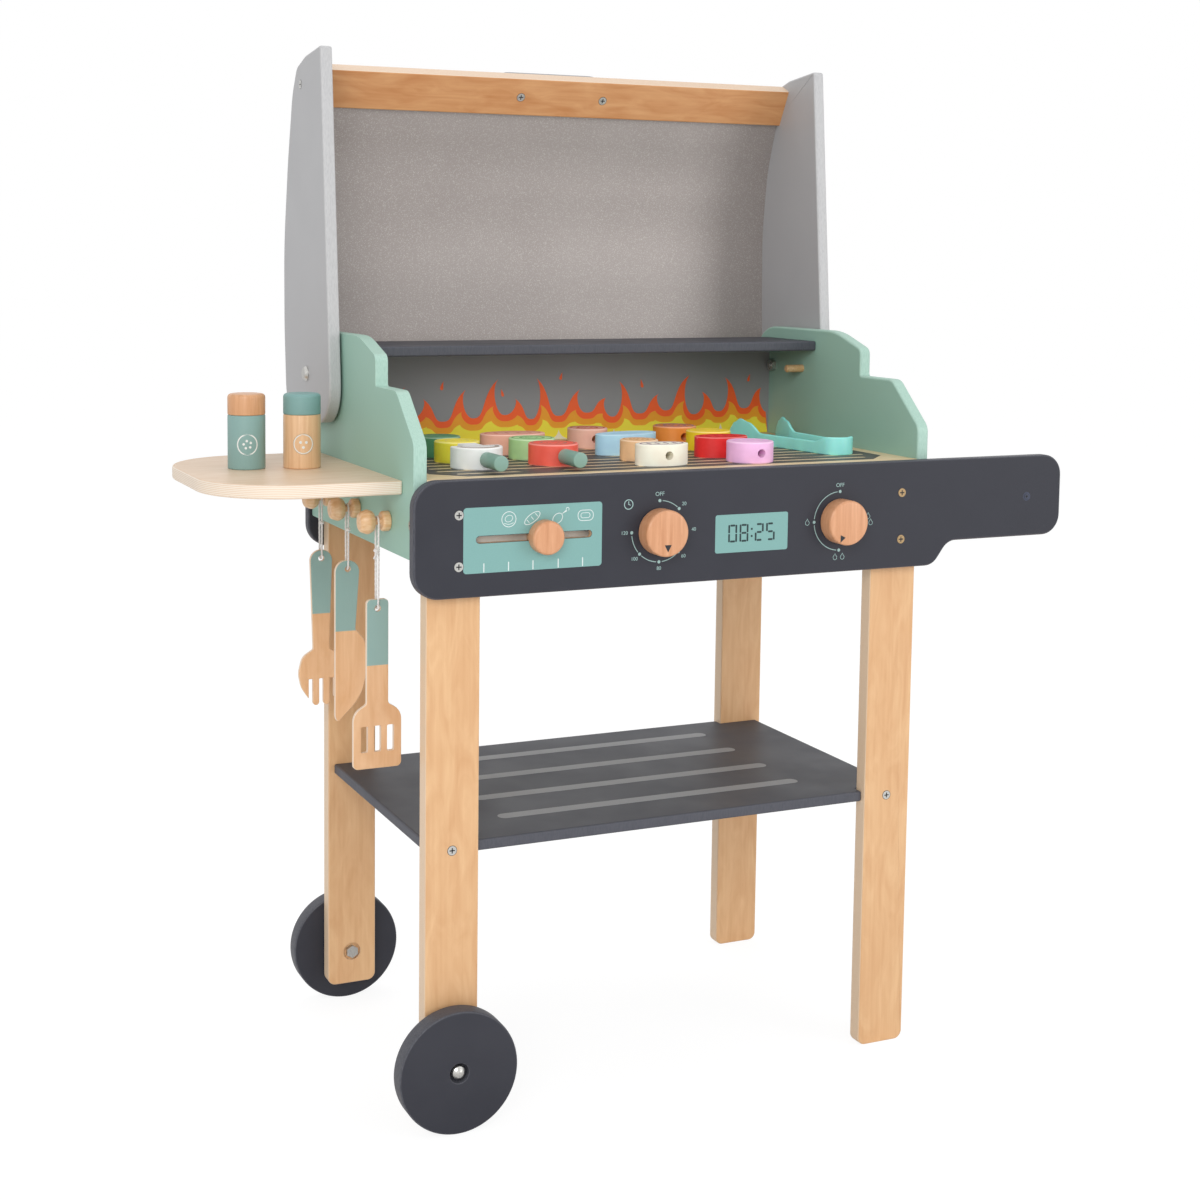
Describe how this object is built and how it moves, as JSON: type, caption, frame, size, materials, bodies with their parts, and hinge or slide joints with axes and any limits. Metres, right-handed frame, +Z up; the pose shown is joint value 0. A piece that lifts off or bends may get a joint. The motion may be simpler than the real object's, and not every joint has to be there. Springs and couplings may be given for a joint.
{
  "type": "toy barbecue grill",
  "caption": "Toy wooden barbecue cart with hinged hood, control panel with knobs and slider, side table, hanging utensils, play food and two wheels.",
  "frame": {"origin": "middle of the whole grill's box, on the floor", "axes": "+X from the side table to the push handle, +Y from the front panel to the back, +Z up"},
  "size_m": [0.836, 0.3774, 0.9591],
  "materials": {
    "plywood": "clear-lacquered plywood",
    "dark_paint": "matt dark grey paint on MDF",
    "mint_paint": "matt mint paint on MDF",
    "grey_paint": "matt light grey paint on plywood",
    "silver_paint": "satin metallic paint on bent board",
    "beech": "clear-lacquered beech",
    "backing": "plain fibreboard",
    "steel": "zinc-plated steel",
    "brass": "yellow-passivated screws",
    "cord": "twisted cotton cord",
    "food_paint": "painted wood in several colours",
    "turquoise": "moulded plastic"
  },
  "bodies": {
    "cart": {"leg_front_left": "plywood", "leg_front_right": "plywood", "leg_rear_left": "plywood", "leg_rear_right": "plywood", "front_panel": "dark_paint", "rear_panel": "dark_paint", "side_panel_left": "mint_paint", "side_panel_right": "mint_paint", "cooktop_board": "plywood", "back_wall": "grey_paint", "warming_shelf": "dark_paint", "lower_shelf": "dark_paint", "side_table": "plywood", "push_handle": "plywood", "slider_backing": "backing", "shelf_pegs": "plywood", "hook_pegs": "beech", "panel_screws": "steel", "handle_screws": "brass", "shelf_screws": "steel", "table_screws": "steel", "side_screws": "steel", "hood_pivot_bolts": "steel", "hood_pivot_nuts": "steel", "hood_spacers": "steel", "axle_bolts": "steel", "axle_washers": "steel", "axle_cap_nuts": "steel", "skewered_food": "food_paint", "loose_food": "food_paint", "food_skewers": "mint_paint", "tongs": "turquoise"},
    "hood": {"hood_side_left": "grey_paint", "hood_side_right": "grey_paint", "hood_sheet": "silver_paint", "hood_rail": "plywood", "hood_grip": "grey_paint", "grip_screws": "steel", "rail_screws": "steel"},
    "front_wheel": {"wheel_front": "dark_paint"},
    "rear_wheel": {"wheel_rear": "dark_paint"},
    "timer": {"timer_knob": "beech", "timer_spindle": "steel"},
    "heat": {"heat_knob": "beech", "heat_spindle": "steel"},
    "slider": {"slider_knob": "beech", "slider_shoe": "beech"},
    "hanging_spatula": {"spatula": "plywood", "spatula_cord": "cord"},
    "hanging_knife": {"knife": "plywood", "knife_cord": "cord"},
    "hanging_fork": {"fork": "plywood", "fork_cord": "cord"},
    "pepper_shaker": {"pepper_body": "mint_paint", "pepper_cap": "beech"},
    "salt_shaker": {"salt_body": "beech", "salt_cap": "mint_paint"}
  },
  "joints": [
    {"name": "hood_hinge", "type": "hinge", "parent": "cart", "child": "hood", "pos_m": [0.006, 0.10858, 0.648], "axis": [1, 0, 0], "range_deg": [0, 95.2]},
    {"name": "front_wheel_spin", "type": "hinge", "parent": "cart", "child": "front_wheel", "pos_m": [-0.219, -0.17172, 0.055], "axis": [0, 1, 0], "continuous": true},
    {"name": "rear_wheel_spin", "type": "hinge", "parent": "cart", "child": "rear_wheel", "pos_m": [-0.219, 0.14988, 0.055], "axis": [0, 1, 0], "continuous": true},
    {"name": "timer_turn", "type": "hinge", "parent": "cart", "child": "timer", "pos_m": [-0.027, -0.17942, 0.5205], "axis": [0, 1, 0], "continuous": true},
    {"name": "heat_turn", "type": "hinge", "parent": "cart", "child": "heat", "pos_m": [0.162, -0.17942, 0.5205], "axis": [0, 1, 0], "continuous": true},
    {"name": "slider_travel", "type": "slide", "parent": "cart", "child": "slider", "axis": [1, 0, 0], "range_m": [-0.06, 0.043]},
    {"name": "spatula_swing", "type": "hinge", "parent": "cart", "child": "hanging_spatula", "pos_m": [-0.267, -0.09642, 0.531], "axis": [1, 0, 0], "range_deg": [-10, 10]},
    {"name": "knife_swing", "type": "hinge", "parent": "cart", "child": "hanging_knife", "pos_m": [-0.267, -0.01042, 0.531], "axis": [1, 0, 0], "range_deg": [-10, 10]},
    {"name": "fork_swing", "type": "hinge", "parent": "cart", "child": "hanging_fork", "pos_m": [-0.267, 0.07258, 0.531], "axis": [1, 0, 0], "range_deg": [-10, 10]},
    {"name": "pepper_lift", "type": "slide", "parent": "cart", "child": "pepper_shaker", "axis": [0, 0, 1], "range_m": [0, 0.06]},
    {"name": "salt_lift", "type": "slide", "parent": "cart", "child": "salt_shaker", "axis": [0, 0, 1], "range_m": [0, 0.06]}
  ]
}
